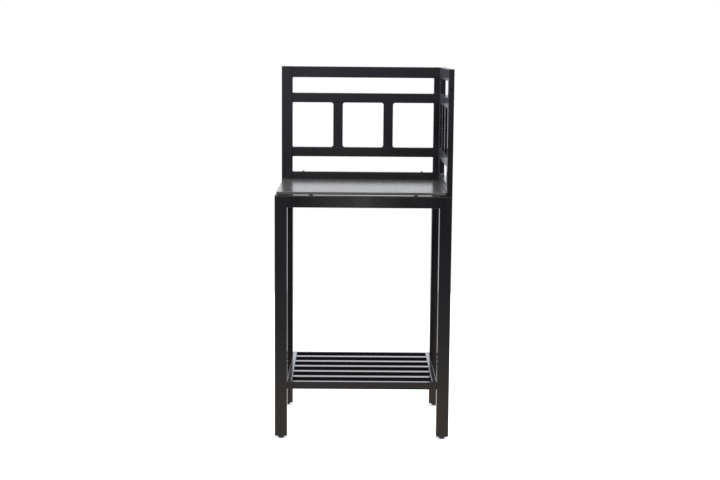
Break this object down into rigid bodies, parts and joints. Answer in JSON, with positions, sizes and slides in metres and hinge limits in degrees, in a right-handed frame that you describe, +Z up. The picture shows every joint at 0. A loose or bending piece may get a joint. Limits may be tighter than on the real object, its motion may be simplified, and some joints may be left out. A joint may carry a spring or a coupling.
{
  "type": "potting bench",
  "caption": "Slim black metal potting bench with a dark stone top, a slatted lower shelf and open lattice panels along the back and one end.",
  "frame": {"origin": "on the floor under the middle of the bench", "axes": "+Z up, front towards -Y, side panel at +X"},
  "size_m": [0.6, 0.48, 1.273],
  "materials": {
    "frame_paint": "black fine-texture powder coat on steel tube, satin",
    "cap_plastic": "black moulded polyamide, matt",
    "foot_plastic": "black moulded plastic foot, fine moulded grain",
    "zinc_steel": "zinc-plated steel",
    "black_screws": "black oxide button-head screws",
    "stone": "dark warm-grey sintered stone slab, satin, with a faint mineral speckle",
    "pad_rubber": "black rubber buffer"
  },
  "bodies": {
    "bench": {"leg_front_left": "frame_paint", "leg_front_right": "frame_paint", "leg_rear_left": "frame_paint", "leg_rear_right": "frame_paint", "apron_front": "frame_paint", "apron_rear": "frame_paint", "apron_left": "frame_paint", "apron_right": "frame_paint", "shelf_rail_front": "frame_paint", "shelf_rail_rear": "frame_paint", "shelf_rail_left": "frame_paint", "shelf_rail_right": "frame_paint", "shelf_slat_1": "frame_paint", "shelf_slat_2": "frame_paint", "shelf_slat_3": "frame_paint", "shelf_slat_4": "frame_paint", "shelf_slat_5": "frame_paint", "corner_brackets": "frame_paint", "back_post_left": "frame_paint", "back_post_right": "frame_paint", "back_bar_left": "frame_paint", "back_bar_right": "frame_paint", "back_rail_bottom": "frame_paint", "back_rail_lower": "frame_paint", "back_rail_upper": "frame_paint", "back_rail_top": "frame_paint", "back_post_caps": "cap_plastic", "side_post_front": "frame_paint", "side_post_rear": "frame_paint", "side_bar_front": "frame_paint", "side_bar_rear": "frame_paint", "side_rail_bottom": "frame_paint", "side_rail_lower": "frame_paint", "side_rail_upper": "frame_paint", "side_rail_top": "frame_paint", "side_post_caps": "cap_plastic", "leg_caps": "cap_plastic", "leg_insert_front_left": "cap_plastic", "leg_insert_front_right": "cap_plastic", "leg_insert_rear_left": "cap_plastic", "leg_insert_rear_right": "cap_plastic", "access_plugs": "cap_plastic", "shelf_nuts": "zinc_steel", "apron_nuts": "zinc_steel", "corner_nuts": "zinc_steel", "shelf_bolts": "black_screws", "panel_bolts": "black_screws", "corner_bolts": "black_screws", "bracket_screws": "black_screws", "stone_top": "stone", "top_pads": "pad_rubber"},
    "foot_front_left": {"foot_pad_front_left": "foot_plastic", "foot_stud_front_left": "zinc_steel"},
    "foot_front_right": {"foot_pad_front_right": "foot_plastic", "foot_stud_front_right": "zinc_steel"},
    "foot_rear_left": {"foot_pad_rear_left": "foot_plastic", "foot_stud_rear_left": "zinc_steel"},
    "foot_rear_right": {"foot_pad_rear_right": "foot_plastic", "foot_stud_rear_right": "zinc_steel"}
  },
  "joints": [
    {"name": "level_front_left", "type": "slide", "parent": "bench", "child": "foot_front_left", "axis": [0, 0, -1], "range_m": [0, 0.01]},
    {"name": "level_front_right", "type": "slide", "parent": "bench", "child": "foot_front_right", "axis": [0, 0, -1], "range_m": [0, 0.01]},
    {"name": "level_rear_left", "type": "slide", "parent": "bench", "child": "foot_rear_left", "axis": [0, 0, -1], "range_m": [0, 0.01]},
    {"name": "level_rear_right", "type": "slide", "parent": "bench", "child": "foot_rear_right", "axis": [0, 0, -1], "range_m": [0, 0.01]}
  ]
}
